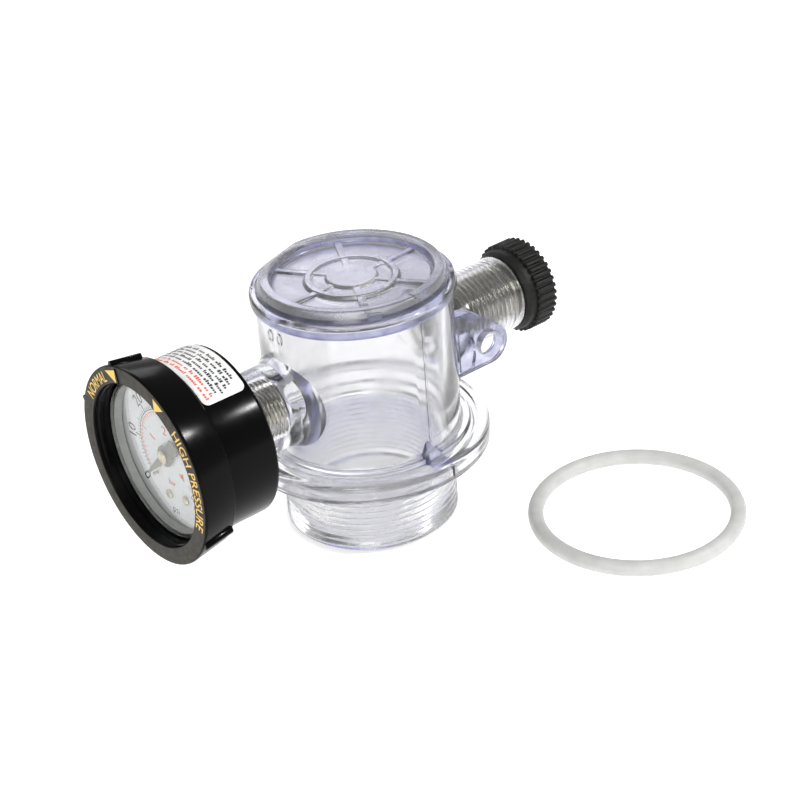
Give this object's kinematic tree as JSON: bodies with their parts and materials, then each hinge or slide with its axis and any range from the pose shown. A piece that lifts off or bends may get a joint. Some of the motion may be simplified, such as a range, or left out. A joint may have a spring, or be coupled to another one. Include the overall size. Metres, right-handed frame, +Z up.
{
  "type": "cartridge filter housing",
  "caption": "Clear gauge and air relief head for a cartridge filter: threaded neck, flanged barrel, pressure gauge with turning bezel, screw-down relief valve and loose flange ring.",
  "frame": {"origin": "centre of the floor rectangle that holds the head and its loose ring; the neck's foot stands on z = 0", "axes": "+Z up along the barrel; +X along the two ports from the gauge to the relief valve; the loose ring lies on the -Y side"},
  "size_m": [0.183, 0.1508, 0.0924],
  "materials": {
    "clear_polycarbonate": "clear with a faint lavender tint",
    "clear_lens": "clear and polished",
    "black_plastic": "satin black moulding",
    "knob_plastic": "matt black moulding",
    "brass": "machined",
    "phosphor_bronze": "drawn",
    "steel": "zinc plated",
    "white_silicone": "matt off-white",
    "black_rubber": "matt",
    "dial_face": "matt white enamel",
    "label_film": "white film",
    "pointer_paint": "dark olive paint"
  },
  "bodies": {
    "head": {"clear_body": "clear_polycarbonate", "top_cap": "clear_polycarbonate", "gauge_socket": "brass", "gauge_case": "black_plastic", "case_screw_left": "steel", "case_screw_right": "steel", "bourdon_tube": "phosphor_bronze", "tube_tip": "brass", "movement_back_plate": "brass", "movement_front_plate": "brass", "movement_pillar_upper": "brass", "movement_pillar_lower": "brass", "hairspring": "phosphor_bronze", "dial_plate": "dial_face", "dial_screw_left": "brass", "dial_screw_right": "brass", "pointer_stop_pin": "brass", "lens": "clear_lens", "lens_gasket": "black_rubber", "spec_label": "label_film"},
    "bezel": {"bezel_ring": "black_plastic"},
    "sector": {"sector_gear": "brass"},
    "link": {"link_bar": "steel"},
    "pointer": {"pinion_arbor": "brass", "pointer": "pointer_paint", "pointer_hub": "brass"},
    "relief_slide": {"stem_tip_seal": "black_rubber"},
    "relief_screw": {"relief_stem": "brass", "stem_o_ring": "black_rubber", "relief_knob": "knob_plastic"},
    "flange_ring": {"flange_o_ring": "white_silicone"}
  },
  "joints": [
    {"name": "bezel_turn", "type": "hinge", "parent": "head", "child": "bezel", "pos_m": [-0.08446, 0.03276, 0.056], "axis": [1, 0, 0], "continuous": true},
    {"name": "sector_turn", "type": "hinge", "parent": "head", "child": "sector", "pos_m": [-0.07456, 0.01836, 0.056], "axis": [-1, 0, 0], "range_deg": [0, 33.75]},
    {"name": "link_turn", "type": "hinge", "parent": "sector", "child": "link", "pos_m": [-0.07586, 0.01136, 0.056], "axis": [-1, 0, 0], "range_deg": [-33.75, 0]},
    {"name": "pointer_turn", "type": "hinge", "parent": "head", "child": "pointer", "pos_m": [-0.08216, 0.03276, 0.056], "axis": [1, 0, 0], "range_deg": [0, 270]},
    {"name": "relief_travel", "type": "slide", "parent": "head", "child": "relief_slide", "axis": [1, 0, 0], "range_m": [0, 0.006]},
    {"name": "relief_turn", "type": "hinge", "parent": "relief_slide", "child": "relief_screw", "pos_m": [0.05154, 0.03276, 0.059], "axis": [1, 0, 0], "range_deg": [0, 1080]},
    {"name": "ring_lift", "type": "slide", "parent": "head", "child": "flange_ring", "axis": [0, 0, 1], "range_m": [0, 0.03]}
  ],
  "couplings": [
    {"joint": "pointer_turn", "follows": "sector_turn", "ratio": 8},
    {"joint": "link_turn", "follows": "sector_turn", "ratio": -1},
    {"joint": "relief_turn", "follows": "relief_travel", "rad_per_m": 3141.6}
  ]
}
